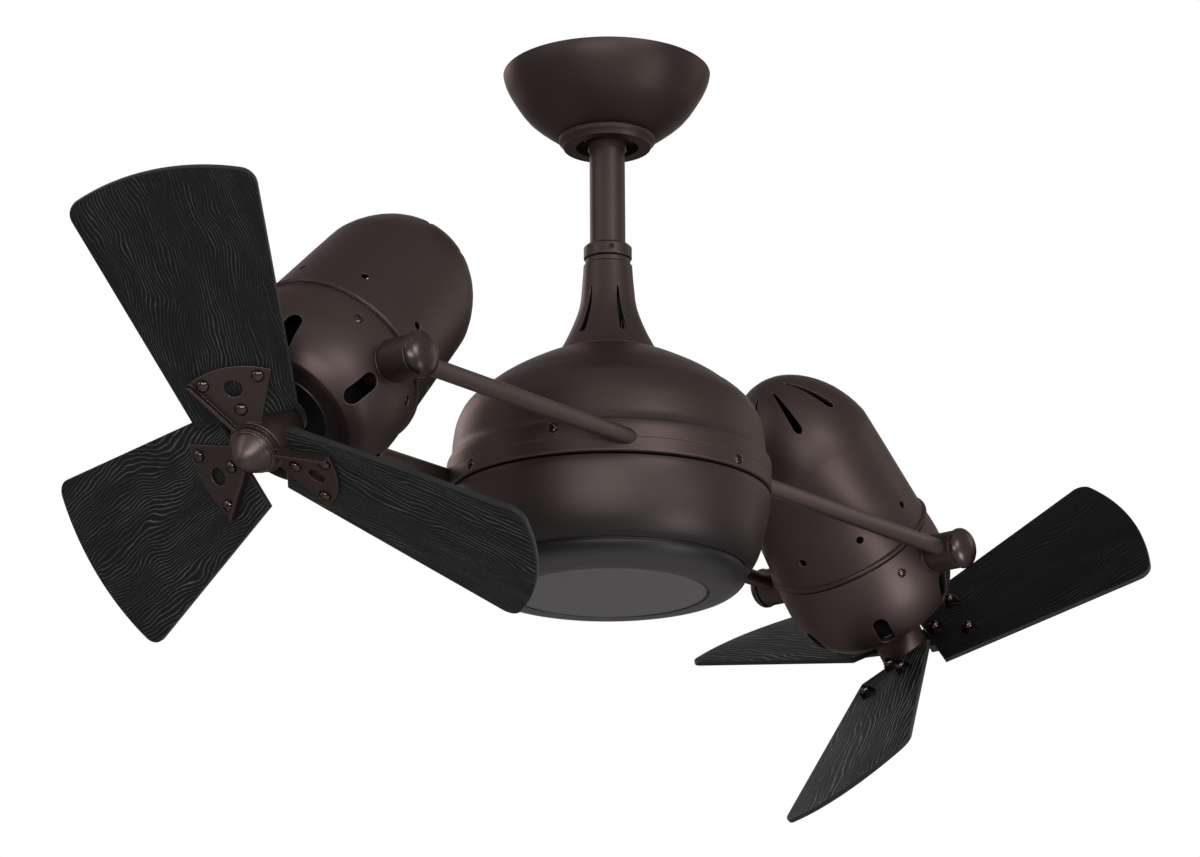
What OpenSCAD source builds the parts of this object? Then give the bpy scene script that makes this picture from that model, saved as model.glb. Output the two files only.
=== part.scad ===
// Twin head ceiling fan: two tilting fan heads on a pair of level tubes, turning under a short downrod.
// Millimetres, +Z up, +X along the tubes towards the right head.
// The origin is the centre of the ceiling plate, on the ceiling plane, and everything hangs below it.

/* [Ceiling bracket] */
// Spacing of the two slots for the ceiling box screws
box_pitch = 88.9; // [80:0.1:96]
// Half width of each ceiling slot
box_slot_r = 2.6; // [2:0.1:3]
// Length of each ceiling slot between its end centres
box_slot_run = 6; // [4:0.5:9]
// Length of the bracket plate
bracket_l = 118; // [116:1:124]
// Width of the bracket plate
bracket_w = 38; // [34:1:42]
// Thickness of the bracket steel
bracket_t = 2.5; // [2:0.1:3]
// Radius of the hanger ball
ball_r = 21.5; // [20:0.5:23]
// Height of the ball's centre above the canopy's floor
ball_up = 13; // [12:0.5:14]

/* [Canopy] */
// Radius of the canopy at the ceiling
canopy_r = 78.6; // [74:0.2:84]
// Height of the canopy
canopy_h = 51; // [49:0.5:54]
// Wall of the canopy
canopy_wall = 1.6; // [1.2:0.1:2]
// Radius of the opening that the downrod leaves through
opening_r = 23.8; // [23:0.1:25]
// Outer radius of the screw cover ring
cover_r = 36.6; // [35:0.2:40]
// Height of the screw cover ring
cover_h = 8; // [7:0.5:10]

/* [Downrod] */
// Radius of the downrod, a three quarter inch pipe
rod_r = 13.35; // [12.5:0.05:14]
// Wall of the downrod
rod_wall = 2.5; // [2:0.1:3]
// Depth of the collar's top under the ceiling
collar_top = 138; // [110:1:200]
// Height of the collar
collar_h = 10.5; // [9:0.5:14]
// Radius of the collar
collar_r = 18.1; // [17.5:0.1:20]

/* [Housing] */
// Height of the flared neck cover
neck_h = 74.5; // [70:0.5:90]
// Radius of the neck cover at its top
neck_r = 18.3; // [17.5:0.1:20]
// Radius of the neck cover where it meets the dome
flare_r = 38; // [35:0.5:44]
// Number of vent slots in the neck
neck_slots = 6; // [4:1:8]
// Largest radius of the housing
house_r = 120; // [116:1:128]
// Height of the dome, from the neck cover to the seam at the tubes
dome_h = 98; // [92:1:110]
// Height of the band under the seam
band_h = 11; // [10:0.5:14]
// Running gap between the turning band and the fixed bowl
bowl_gap = 2; // [1.5:0.1:4]
// Height of the lower bowl
bowl_h = 72; // [66:0.5:80]
// Radius of the round plate in the bottom of the bowl
disc_r = 72.4; // [66:0.2:76]
// Wall of the housing covers
house_wall = 2; // [1.6:0.1:2.4]

/* [Tubes] */
// Distance of each tube from the centre line
tube_off = 83; // [82:0.5:86]
// Radius of the tubes
tube_r = 6.35; // [6:0.05:7]
// Wall of the tubes
tube_wall = 1.5; // [1.2:0.1:2]
// Distance from the housing's axis to each head's tilt axis
reach = 321; // [318:1:345]

/* [Tilt pivots] */
// Radius of the barrel on each tube end
barrel_r = 15; // [14.5:0.1:16]
// Radius of the domed cap on each barrel
cap_r = 16; // [15.5:0.1:17.5]
// Height of the domed cap
cap_h = 11; // [10:0.5:13]
// Radius of the pivot bolt
bolt_r = 4; // [3.5:0.1:4.5]
// Angle of the left head below level as made
left_tilt = 46.7; // [30:0.1:70]
// Angle of the right head below level as made
right_tilt = 44.5; // [30:0.1:70]

/* [Heads] */
// Largest radius of the front shell
head_r = 67.5; // [65:0.5:68]
// Length of the front shell ahead of the tilt axis
nose_l = 46.5; // [43:0.5:50]
// Length behind the tilt axis where the rear cover meets the front shell
seam_l = 22; // [20:0.5:24]
// Length of the rear cover's round end behind the tilt axis
tail_l = 176.8; // [165:0.2:182]
// Wall of the head covers
head_wall = 2.4; // [2:0.1:2.8]
// Radius of the mouth hole
mouth_r = 31; // [28:0.5:34]
// Number of oval slots round the front shell
nose_slots = 6; // [4:1:6]
// Number of tapered slots round the rear end
tail_slots = 8; // [6:1:10]
// Number of vent holes round the rear cover
vents = 8; // [6:1:12]

/* [Motors] */
// Radius of the motor body
motor_r = 46; // [44:0.5:47]
// Radius of the turning core
core_r = 30; // [26:0.5:32]
// Radius of the motor shaft
shaft_r = 6; // [5.5:0.1:7]
// Outer radius of the motor bearings
bearing_r = 16; // [14:0.5:18]

/* [Rotors] */
// Distance from the tilt axis to the plane of the blade brackets
rotor_l = 82.5; // [81:0.5:90]
// Radius of the rotor hub
hub_r = 20; // [18:0.1:21]
// Radius of the spinner cap
spin_r = 16; // [14.5:0.1:16.5]
// Height of the spinner cap
spin_h = 16.5; // [13:0.5:18]
// Distance from the rotor's axis to the blade's root edge
blade_in = 22; // [22:0.5:25]
// Distance from the rotor's axis to the blade's tip corners
blade_out = 195.9; // [180:0.1:198]
// Bow of the tip beyond its corners
blade_bow = 14.5; // [13:0.5:20]
// Width of the blade at its root
root_w = 74.5; // [68:0.5:76]
// Width of the blade at its tip
tip_w = 134; // [120:1:136]
// Thickness of the blade
blade_t = 4; // [3.5:0.1:5]
// Twist of the blades out of the rotor's plane
pitch = 17.4; // [14:0.1:19]
// Lean of the blades back towards the motor
lean = 0.3; // [0:0.1:2.5]
// Radius of the bracket's round outer edge
bracket_r = 62.8; // [60:0.2:66]
// Thickness of the blade bracket
arm_t = 2.5; // [2:0.1:3]
// Turn of the left rotor as made
left_turn = -12.1; // [-60:0.1:60]
// Turn of the right rotor as made
right_turn = 48.6; // [0:0.1:120]

/* [Hidden] */
$fn = 64;
turn_fn = 96;          // faces round each large turned cover
fit = 0.02;            // a seated fit within one body
run = 0.05;            // a running fit on a shaft or a pivot
air = 0.3;             // space between faces of different bodies
cut = 1;               // how far a cutter reaches past a face
thread_r = 2;          // radius of the small screws
screw_head_r = 3.2;    // radius of a cover screw's head
screw_head_h = 1.8;    // height of a cover screw's head
screw_sink = 1.6;      // depth of the counterbore that each head sits in
screw_gap = 0.7;       // clear space round a head in its counterbore
edge = 0.4;            // chamfer where two covers meet
bronze = [0.2, 0.165, 0.155];
steel = [0.55, 0.56, 0.58];
black = [0.1, 0.1, 0.1];
brass = [0.72, 0.58, 0.3];
sides = [-1, 1];

// Heights, measured down from the ceiling
canopy_floor = -canopy_h;
ball_z = canopy_floor + ball_up;
cover_floor = canopy_floor - cover_h;
collar_floor = -collar_top - collar_h;
neck_top = collar_floor - 1;
dome_top = neck_top - neck_h;
seam_z = dome_top - dome_h;
tube_z = seam_z;
band_floor = seam_z - band_h;
bowl_top = band_floor - bowl_gap;
bowl_floor = bowl_top - bowl_h;

// Outlines as shares of the way across and the way down, from the top of each cover to its bottom
canopy_shape = [[1, 0], [0.965, 0.12], [0.85, 0.32], [0.58, 0.65], [0.17, 0.93], [0, 1]];
neck_shape = [[0, 0.06], [0.06, 0.28], [0.17, 0.51], [0.49, 0.74], [0.82, 0.92], [1, 1]];
crown_shape = [[0, 0], [0.19, 0.065], [0.42, 0.165], [0.585, 0.253], [0.7, 0.334]];
wall_shape = [[0.706, 0.33], [0.716, 0.336], [0.79, 0.392], [0.86, 0.463], [0.92, 0.58],
  [0.945, 0.7], [0.955, 0.8]];
ridge_shape = [[0.955, 0.8], [0.975, 0.852], [1, 0.885], [1, 1]];
bowl_shape = [[0.987, 0], [0.99, 0.07], [0.972, 0.25], [0.928, 0.55], [0.885, 0.7], [0.852, 0.765]];
// The pan under the bowl's lip, as shares from the round plate out to the lip and from the lip down
pan_shape = [[0.99, 0.06], [0.975, 0.22], [0.9, 0.48], [0.77, 0.71], [0.6, 0.88], [0.35, 0.975], [0, 1]];
// The head's outlines, from the seam to the middle of the round end and from the mouth back to the seam
tail_shape = [[1, 0], [0.956, 0.284], [0.911, 0.572], [0.89, 0.634], [0.83, 0.709], [0.734, 0.789],
  [0.605, 0.862], [0.452, 0.924], [0.282, 0.97], [0.107, 0.995], [0, 1]];
nose_shape = [[0.754, 0], [0.776, 0.015], [0.866, 0.105], [0.933, 0.224], [0.978, 0.373], [1, 0.55],
  [0.997, 0.79], [0.975, 1]];
cap_shape = [[1, 0], [0.97, 0.28], [0.8, 0.62], [0.5, 0.86], [0, 1]];
spin_shape = [[1, 0], [0.95, 0.12], [0.86, 0.27], [0.7, 0.5], [0.5, 0.74], [0.25, 0.93], [0, 1]];

function mix(a, b, t) = a + (b - a) * t;
// The point a share t of the way from p[i] to p[i + 1] on a smooth run through p
function smooth_at(p, i, t) =
  let (a = p[max(i - 1, 0)], b = p[i], c = p[i + 1], d = p[min(i + 2, len(p) - 1)])
  (2 * b + (c - a) * t + (2 * a - 5 * b + 4 * c - d) * t ^ 2 + (3 * b - a - 3 * c + d) * t ^ 3) / 2;
function smooth(p, n = 3) =
  concat([for (i = [0:len(p) - 2], k = [0:n - 1]) smooth_at(p, i, k / n)], [p[len(p) - 1]]);
// Shares of p laid out between radii r0 and r1 and heights z0 and z1
function lay(p, r0, r1, z0, z1) = [for (s = p) [mix(r0, r1, s[0]), mix(z0, z1, s[1])]];
function unit(v) = v / norm(v);
function turn90(v) = [v[1], -v[0]];
function flip(p) = [for (i = [len(p) - 1:-1:0]) p[i]];
// The outline p moved by w towards its axis, for a p that runs downwards, and kept between its end heights
function aside(p, w) = [for (i = [0:len(p) - 1])
  let (q = p[i] + w * turn90(unit(p[min(i + 1, len(p) - 1)] - p[max(i - 1, 0)])))
  [max(q[0], 0), min(max(q[1], p[len(p) - 1][1]), p[0][1])]];
function arc(c, r, a0, a1, n = 8) =
  [for (k = [0:n]) c + r * [cos(mix(a0, a1, k / n)), sin(mix(a0, a1, k / n))]];

module turned(p, w) {
  rotate_extrude($fn = turn_fn) polygon(concat(p, flip(aside(p, w))));
}
module ring(r, bore, z0, z1) {
  translate([0, 0, z0]) difference() {
    cylinder(r = r, h = z1 - z0);
    translate([0, 0, -cut]) cylinder(r = bore, h = z1 - z0 + 2 * cut);
  }
}
// Cuts a round groove of radius w into a turned face
module groove(r, z, w) {
  translate([0, 0, z]) rotate_extrude($fn = turn_fn) translate([r, 0]) circle(r = w, $fn = 16);
}
module slot2d(span, r) {
  square([span, 2 * r], center = true);
  for (s = sides) translate([s * span / 2, 0]) circle(r = r, $fn = 24);
}
module tapered2d(l, r0, r1) {
  polygon([[0, -r0], [l, -r1], [l, r1], [0, r0]]);
  circle(r = r0, $fn = 16);
  translate([l, 0]) circle(r = r1, $fn = 24);
}
// A screw with a domed head on z = 0 and its shank below
module dome_screw(l, r, h) {
  rotate_extrude($fn = 32) polygon(concat([[0, 0], [r, 0]], lay(smooth(cap_shape), 0, r, edge, h)));
  translate([0, 0, -l]) cylinder(r = thread_r, h = l + cut, $fn = 24);
}
// A pan head screw with a cross in its head, which stands on z = 0, and its shank below
module screw(l, r = screw_head_r, h = screw_head_h) {
  difference() {
    rotate_extrude($fn = 32) polygon(concat([[0, 0], [r, 0]], lay(smooth(cap_shape, 2), 0, r, edge, h)));
    for (a = [0, 90]) rotate(a) translate([0, 0, h]) cube([r * 1.1, r / 4, h], center = true);
  }
  translate([0, 0, -l]) cylinder(r = thread_r, h = l, $fn = 24);
}
module screw_cut(l, r = screw_head_r + screw_gap) {
  cylinder(r = r + fit, h = 5 * cut, $fn = 32);
  translate([0, 0, -l]) cylinder(r = thread_r + fit, h = l + cut, $fn = 24);
}
// Puts its children on a turned cover, at an angle, a height and a radius, facing outwards
module outward(a, z, r) {
  rotate(a) translate([r, 0, z]) rotate([0, 90, 0]) children();
}
module along_y(y0, y1, r) {
  translate([0, y0, 0]) rotate([-90, 0, 0]) cylinder(r = r, h = y1 - y0);
}

// ---- ceiling mount: the bracket that hangs on the ceiling box, and what covers it
seat_floor = canopy_floor + canopy_wall + air;
seat_t = 5;
seat_r = ball_r + 8;
lug_r = 4.5;
lug_off = opening_r + lug_r + 2;

module ceiling_bracket() {
  color(steel) difference() {
    union() {
      translate([-bracket_l / 2, -bracket_w / 2, -bracket_t]) cube([bracket_l, bracket_w, bracket_t]);
      for (s = sides) translate([s * (seat_r - bracket_t / 2), 0, seat_floor / 2])
        cube([bracket_t, bracket_w / 2, -seat_floor], center = true);
      translate([0, 0, seat_floor]) cylinder(r = seat_r, h = seat_t);
      for (s = sides) translate([0, s * lug_off, seat_floor]) cylinder(r = lug_r, h = seat_t);
    }
    translate([0, 0, ball_z]) sphere(r = ball_r + air);
    for (s = sides) translate([0, s * lug_off, seat_floor - cut])
      cylinder(r = thread_r + fit, h = seat_t + 2 * cut, $fn = 24);
    for (s = sides) translate([s * box_pitch / 2, 0, -bracket_t - cut])
      linear_extrude(bracket_t + 2 * cut) slot2d(box_slot_run, box_slot_r);
    translate([0, 0, -bracket_t - cut]) cylinder(r = ball_r / 2, h = bracket_t + 2 * cut);
  }
}
module canopy() {
  line = lay(smooth(canopy_shape), cover_r - 1, canopy_r, 0, canopy_floor);
  color(bronze) difference() {
    union() {
      turned(line, canopy_wall);
      ring(cover_r - canopy_wall / 2, opening_r, canopy_floor, canopy_floor + canopy_wall);
      for (s = sides) translate([0, s * lug_off, canopy_floor])
        cylinder(r = lug_r, h = seat_floor - canopy_floor);
    }
    for (s = sides) translate([0, s * lug_off, canopy_floor - cut])
      cylinder(r = thread_r + fit, h = canopy_h, $fn = 24);
  }
}
module canopy_screws() {
  color(steel) for (s = sides) translate([0, s * lug_off, canopy_floor]) rotate([180, 0, 0])
    screw(seat_floor - canopy_floor + seat_t - cut);
}
module cover_ring() {
  line = [[cover_r - 1.2, canopy_floor], [cover_r, canopy_floor - 1], [cover_r, canopy_floor - 3],
    [cover_r - 2.6, cover_floor + 2], [cover_r - 3.6, cover_floor], [opening_r, cover_floor]];
  color(bronze) difference() {
    union() {
      turned(line, canopy_wall);
      ring(opening_r + canopy_wall, opening_r, cover_floor, canopy_floor);
    }
    groove(cover_r, canopy_floor - 2.6, 0.7);
  }
}

// ---- hanger: the ball, the downrod and the fixed spindle with the bowl on its end
skirt_floor = cover_floor - 2;
skirt_r = rod_r + 1.3;
rod_top = ball_z + ball_r / 2;
rod_dip = 20;
rod_floor = neck_top - rod_dip;
ball_pin_r = 3;
ball_pin_z = ball_z + 4;
rod_pin_z = rod_floor + 9;
spindle_r = 10;
spindle_up = 30;
hub_h = 60;
hub_top = seam_z + hub_h;
plate_t = 2.5;
plate_top = tube_z - tube_r - 0.6;
plate_floor = plate_top - plate_t;
bearing_h = 9;
big_bearing_r = spindle_r * 2;
ledge_top = bowl_top - 0.22 * bowl_h;
ledge_t = 3;
ledge_r = 0.972 * house_r - 1;
bowl_plate_t = 2.5;
nut_h = 8;
spindle_floor = ledge_top - bowl_plate_t - nut_h - 4;
plate_hole_r = 14;
lip_r = 0.852 * house_r;
lip_z = mix(bowl_top, bowl_floor, 0.765) - 1;

module hanger_ball() {
  color(black) difference() {
    union() {
      translate([0, 0, ball_z]) sphere(r = ball_r);
      translate([0, 0, skirt_floor]) cylinder(r = skirt_r, h = ball_z - ball_r / 2 - skirt_floor);
    }
    translate([0, 0, skirt_floor - cut]) cylinder(r = rod_r + fit, h = 3 * ball_r);
    translate([0, 0, rod_top]) cylinder(r = ball_r, h = ball_r);
    translate([0, 0, ball_pin_z]) along_y(-ball_r, ball_r, ball_pin_r + fit);
  }
}
module downrod() {
  color(bronze) difference() {
    ring(rod_r, rod_r - rod_wall, rod_floor, rod_top);
    translate([0, 0, ball_pin_z]) along_y(-ball_r, ball_r, ball_pin_r + fit);
    translate([0, 0, rod_pin_z]) along_y(-ball_r, ball_r, ball_pin_r + fit);
  }
}
collar_screw_turn = -133;
collar_screw_r = 2.4;
module collar() {
  color(bronze) difference() {
    rotate_extrude($fn = turn_fn) polygon([[rod_r + fit, collar_floor], [collar_r - 0.8, collar_floor],
      [collar_r, collar_floor + 0.8], [collar_r, -collar_top - 1.6], [collar_r - 1.6, -collar_top],
      [rod_r + fit, -collar_top]]);
    outward(collar_screw_turn, -collar_top - collar_h / 2, rod_r)
      cylinder(r = collar_screw_r + fit, h = 2 * collar_r);
  }
}
module collar_screw() {
  color(steel) outward(collar_screw_turn, -collar_top - collar_h / 2, rod_r) difference() {
    cylinder(r = collar_screw_r, h = collar_r - rod_r - 0.3);
    translate([0, 0, collar_r - rod_r - 1.6]) cylinder(r = collar_screw_r / 2, h = 2, $fn = 6);
  }
}
module rod_pins() {
  pin_half = rod_r + 1.5;
  color(steel) for (z = [ball_pin_z, rod_pin_z]) translate([0, 0, z])
    along_y(-pin_half, pin_half, ball_pin_r);
}
module spindle() {
  color(steel) difference() {
    union() {
      translate([0, 0, rod_floor]) cylinder(r = rod_r - rod_wall - fit, h = spindle_up);
      translate([0, 0, spindle_floor]) cylinder(r = spindle_r, h = rod_floor - spindle_floor);
      translate([0, 0, ledge_top + bowl_plate_t])
        cylinder(r = spindle_r + 4, h = plate_floor - air - ledge_top - bowl_plate_t);
      translate([0, 0, hub_top + air]) cylinder(r = spindle_r + 3, h = 4);
    }
    translate([0, 0, bowl_floor]) cylinder(r = spindle_r - 4, h = -bowl_floor);
    translate([0, 0, rod_pin_z]) along_y(-ball_r, ball_r, ball_pin_r + fit);
  }
}
module slip_ring() {
  base = hub_top + air + 4;
  color(brass) union() {
    ring(spindle_r + 2.5, spindle_r + fit, base, base + 22);
    for (k = [0:2]) ring(spindle_r + 5, spindle_r + fit, base + 3 + 6 * k, base + 6 + 6 * k);
  }
}
module bowl_plate() {
  color(steel) difference() {
    translate([0, 0, ledge_top]) cylinder(r = ledge_r - 2, h = bowl_plate_t);
    translate([0, 0, ledge_top - cut]) cylinder(r = spindle_r + fit, h = bowl_plate_t + 2 * cut);
    for (k = [0:2]) rotate(120 * k) translate([ledge_r - 7, 0, ledge_top + bowl_plate_t]) screw_cut(9);
    for (k = [0:2]) rotate(120 * k + 60) translate([ledge_r * 0.6, 0, ledge_top - cut])
      cylinder(r = plate_hole_r, h = bowl_plate_t + 2 * cut);
  }
}
module bowl_screws() {
  color(steel) for (k = [0:2]) rotate(120 * k) translate([ledge_r - 7, 0, ledge_top + bowl_plate_t]) screw(8);
}
module spindle_nut() {
  color(steel) difference() {
    translate([0, 0, ledge_top - nut_h]) cylinder(r = spindle_r * 1.7, h = nut_h, $fn = 6);
    translate([0, 0, ledge_top - nut_h - cut]) cylinder(r = spindle_r + fit, h = nut_h + 2 * cut);
  }
}
module bowl() {
  outer = concat(lay(smooth(bowl_shape), 0, house_r, bowl_top, bowl_floor), [[lip_r - 0.7, lip_z + 0.2]]);
  pan = concat([[lip_r - 2.6, lip_z + 0.1], [lip_r - 2.6, lip_z - 1]],
    lay(smooth(pan_shape), disc_r + 0.5, lip_r - 0.8, lip_z - 1, bowl_floor));
  color(bronze) difference() {
    union() {
      turned(concat(outer, pan), house_wall);
      ring(ledge_r, ledge_r - 12, ledge_top - ledge_t, ledge_top);
      ring(disc_r + 1.2, disc_r - 5, bowl_floor + house_wall, bowl_floor + 2 * house_wall);
    }
    for (k = [0:2]) rotate(120 * k) translate([ledge_r - 7, 0, ledge_top]) screw_cut(9);
  }
}
module bottom_disc() {
  color(bronze) translate([0, 0, bowl_floor + 0.4]) cylinder(r = disc_r, h = house_wall - 0.4, $fn = turn_fn);
}

// ---- turntable: the neck, dome and band that turn on the spindle and carry the tubes
lower_screws = [-90, 90, 162, -18];
upper_screws = [-161, 19];
lower_screw_z = seam_z - 5;
upper_screw_z = seam_z + 8;
band_screw_l = 9;
boss_w = 11;
band_w = 16;
screw_seat = house_r - screw_sink;
tube_end = reach - bolt_r - 2.5;

module tube_cut() {
  for (s = sides) translate([-house_r - cut, s * tube_off, tube_z]) rotate([0, 90, 0])
    cylinder(r = tube_r + fit, h = 2 * house_r + 2 * cut);
}
module neck_cover() {
  lip_in = 1.3;
  lip_h = 3.2;
  line = concat([[neck_r - lip_in, neck_top], [neck_r - lip_in, neck_top - lip_h]],
    lay(smooth(neck_shape), neck_r, flare_r, neck_top, dome_top));
  color(bronze) difference() {
    union() {
      turned(line, house_wall);
      ring(flare_r - 2, spindle_r * 2.8, dome_top, dome_top + house_wall);
    }
    for (k = [0:neck_slots - 1]) rotate(360 * k / neck_slots) translate([0, 0, neck_top - 0.34 * neck_h])
      rotate([0, 90, 0]) linear_extrude(2 * flare_r) tapered2d(0.47 * neck_h, 0.7, 3.1);
  }
}
module dome() {
  all_points = concat(smooth(crown_shape), smooth(wall_shape), smooth(ridge_shape));
  line = [for (i = [0:len(all_points) - 1]) if (i == 0 || all_points[i] != all_points[i - 1]) all_points[i]];
  color(bronze) difference() {
    union() {
      turned(lay(line, flare_r, house_r, dome_top, seam_z), house_wall);
      ring(flare_r + 1, spindle_r * 2.8, dome_top - house_wall, dome_top);
    }
    tube_cut();
    for (a = upper_screws) outward(a, upper_screw_z, screw_seat) screw_cut(band_screw_l + 2);
  }
}
module band_ring() {
  color(bronze) difference() {
    rotate_extrude($fn = turn_fn) polygon([[house_r - edge, seam_z], [house_r, seam_z - edge],
      [house_r, band_floor + 1], [house_r - 1, band_floor],
      [house_r - band_w, band_floor], [house_r - band_w, plate_floor], [house_r - house_wall, plate_floor],
      [house_r - house_wall, seam_z]]);
    tube_cut();
    for (a = lower_screws) outward(a, lower_screw_z, screw_seat) screw_cut(band_screw_l + 2);
  }
}
module band_screws() {
  color(steel) {
    for (a = lower_screws) outward(a, lower_screw_z, screw_seat) screw(band_screw_l);
    for (a = upper_screws) outward(a, upper_screw_z, screw_seat) screw(band_screw_l);
  }
}
module boss(a, z1) {
  out = house_r - house_wall - (z1 > seam_z ? 3 : 0.5);
  rotate(a) translate([house_r - band_w, -boss_w / 2, plate_top])
    cube([out - house_r + band_w, boss_w, z1 - plate_top]);
}
module carrier() {
  saddle_l = 90;
  saddle_w = 19;
  saddle_top = tube_z + tube_r + 3;
  color([0.5, 0.5, 0.52]) difference() {
    union() {
      translate([0, 0, plate_floor]) cylinder(r = house_r - house_wall - fit, h = plate_t);
      translate([0, 0, plate_floor]) cylinder(r = big_bearing_r + 4, h = hub_top - plate_floor);
      for (s = sides) translate([-saddle_l / 2, s * tube_off - saddle_w / 2, plate_top])
        cube([saddle_l, saddle_w, saddle_top - plate_top]);
      for (s = sides) translate([-4, s * tube_off / 2 - tube_off / 2, plate_top])
        cube([8, tube_off, 30]);
      for (a = lower_screws) boss(a, seam_z);
      for (a = upper_screws) boss(a, upper_screw_z + 5);
    }
    tube_cut();
    for (a = lower_screws) outward(a, lower_screw_z, screw_seat) screw_cut(band_screw_l + 2);
    for (a = upper_screws) outward(a, upper_screw_z, screw_seat) screw_cut(band_screw_l + 2);
    translate([0, 0, plate_floor - cut]) cylinder(r = spindle_r + 2, h = hub_top - plate_floor + 2 * cut);
    translate([0, 0, plate_floor - cut]) cylinder(r = big_bearing_r + fit, h = bearing_h + cut);
    translate([0, 0, hub_top - bearing_h]) cylinder(r = big_bearing_r + fit, h = bearing_h + cut);
  }
}
module spindle_bearing(z) {
  color(steel) difference() {
    ring(big_bearing_r, spindle_r + run, z, z + bearing_h);
    translate([0, 0, z + bearing_h - 1]) rotate_extrude() translate([spindle_r * 1.5, 0]) square([3, 3]);
  }
}
module spindle_bearings() {
  spindle_bearing(hub_top - bearing_h);
  spindle_bearing(plate_floor);
}
module tube(s) {
  color(bronze) translate([-tube_end, s * tube_off, tube_z]) rotate([0, 90, 0])
    difference() {
      cylinder(r = tube_r, h = 2 * tube_end);
      translate([0, 0, -cut]) cylinder(r = tube_r - tube_wall, h = 2 * (tube_end + cut));
    }
}
module near_tube() { tube(-1); }
module far_tube() { tube(1); }

// ---- tilt pivots: a barrel on each tube end, with the head's pivot bolt through it
boss_y = head_r + 2.5;
barrel_y = boss_y + air;
barrel_end = tube_off + tube_r + 4;
bore_r = bolt_r + run;
bolt_head_r = bolt_r + 2.5;
bolt_head_h = 5;
pocket_r = bolt_head_r + 1.5;
pocket_y = barrel_end - 8;

// Puts its children on the tilt axis of the head at side s, with +X away from the housing
module at_pivot(s) {
  translate([s * reach, 0, tube_z]) rotate(s > 0 ? 0 : 180) children();
}
module barrel() {
  color(bronze) difference() {
    translate([0, barrel_y, 0]) rotate([-90, 0, 0]) rotate_extrude() polygon([[bore_r, 0], [barrel_r - 1, 0],
      [barrel_r, 1], [barrel_r, barrel_end - barrel_y - 0.6], [barrel_r - 0.6, barrel_end - barrel_y],
      [pocket_r, barrel_end - barrel_y], [pocket_r, pocket_y - barrel_y], [bore_r, pocket_y - barrel_y]]);
    translate([-barrel_r - cut, tube_off, 0]) rotate([0, 90, 0])
      cylinder(r = tube_r + fit, h = barrel_r + cut - bolt_r - 2.5);
  }
}
module pivot_cap() {
  groove_d = 1.6;
  groove_h = 1;
  lip = groove_h + 1.2;
  plug_h = 2;
  dome_pts = lay(smooth(cap_shape), 0, cap_r, lip, cap_h);
  color(bronze) translate([0, barrel_end, 0]) rotate([-90, 0, 0]) rotate_extrude()
    polygon(concat([[0, -plug_h], [pocket_r - fit, -plug_h], [pocket_r - fit, 0], [barrel_r - groove_d, 0],
      [barrel_r - groove_d, groove_h], [cap_r - edge, groove_h], [cap_r, groove_h + edge]], dome_pts));
}
module left_near_barrel() { at_pivot(-1) barrel(); }
module left_far_barrel() { at_pivot(-1) mirror([0, 1, 0]) barrel(); }
module right_near_barrel() { at_pivot(1) mirror([0, 1, 0]) barrel(); }
module right_far_barrel() { at_pivot(1) barrel(); }
module left_near_cap() { at_pivot(-1) pivot_cap(); }
module left_far_cap() { at_pivot(-1) mirror([0, 1, 0]) pivot_cap(); }
module right_near_cap() { at_pivot(1) mirror([0, 1, 0]) pivot_cap(); }
module right_far_cap() { at_pivot(1) pivot_cap(); }

// ---- heads: drawn with the rotor's axis along +Z and the tilt axis along Y, both through the origin
seam_r = nose_shape[len(nose_shape) - 1][0] * head_r;
mouth_depth = 4;
lip_w = 4.5;
mouth_bead = 1.6;
wall_z = nose_l - mouth_depth;
face_z = wall_z - head_wall;
motor_back = -seam_l - 16;
core_back = motor_back + 10;
shell_screws_at = [60, 120, 240, 300];
shell_screw_z = -0.3 * seam_l;
vent_z = -seam_l - 26;
vent_r = 3;

module at_head(s) {
  at_pivot(s) rotate([0, 90 + (s > 0 ? right_tilt : left_tilt), 0]) children();
}
// The rear cover's outline from the seam to the middle of its round end
tail_line = lay(smooth(tail_shape, 2), 0, seam_r, -seam_l, -tail_l);
// The front shell's outline drawn in by w, from the mouth back to the seam
function nose_line(w) = [for (p = lay(smooth(nose_shape), 0, head_r, nose_l, -seam_l)) [p[0] - w, p[1]]];
// Radius of the front shell or the rear cover at height z
function radius_at(p, z) = lookup(-z, [for (q = p) [-q[1], q[0]]]);

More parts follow.
